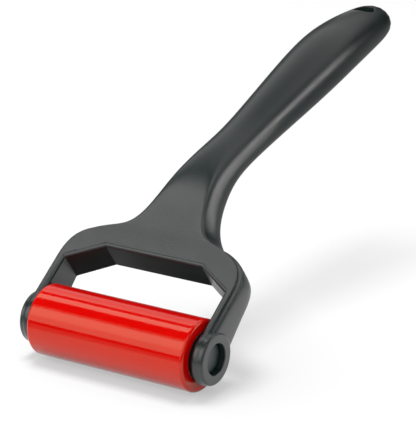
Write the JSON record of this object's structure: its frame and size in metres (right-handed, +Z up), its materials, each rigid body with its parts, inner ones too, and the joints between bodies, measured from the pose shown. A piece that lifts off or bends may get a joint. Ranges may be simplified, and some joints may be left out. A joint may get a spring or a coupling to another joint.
{
  "type": "rubber brayer",
  "caption": "Hand roller for spreading ink: a red rubber sleeve spins on an axle between the arms of a black fork moulded in one with a curved grip that has a hanging hole.",
  "frame": {"origin": "on the surface that the roller stands on, below the middle of the whole brayer's box", "axes": "+X along the axle to the right, +Y back from the roller towards the end of the handle, +Z up"},
  "size_m": [0.0764, 0.1926, 0.0971],
  "materials": {
    "black_plastic": "satin moulded plastic with a very fine grain",
    "red_rubber": "smooth, ground and polished to a gloss",
    "core_plastic": "plain black moulded tube",
    "bush_nylon": "plain black nylon",
    "axle_steel": "drawn bar",
    "washer_nylon": "plain nylon",
    "plug_plastic": "satin moulded plastic"
  },
  "bodies": {
    "fork": {"handle_frame": "black_plastic", "axle": "axle_steel", "left_washer": "washer_nylon", "right_washer": "washer_nylon", "left_axle_plug": "plug_plastic", "right_axle_plug": "plug_plastic"},
    "roller": {"roller_sleeve": "red_rubber", "roller_core": "core_plastic", "left_bush": "bush_nylon", "right_bush": "bush_nylon"}
  },
  "joints": [
    {"name": "roller_spin", "type": "hinge", "parent": "fork", "child": "roller", "pos_m": [0, -0.08347, 0.0128], "axis": [1, 0, 0], "continuous": true}
  ]
}
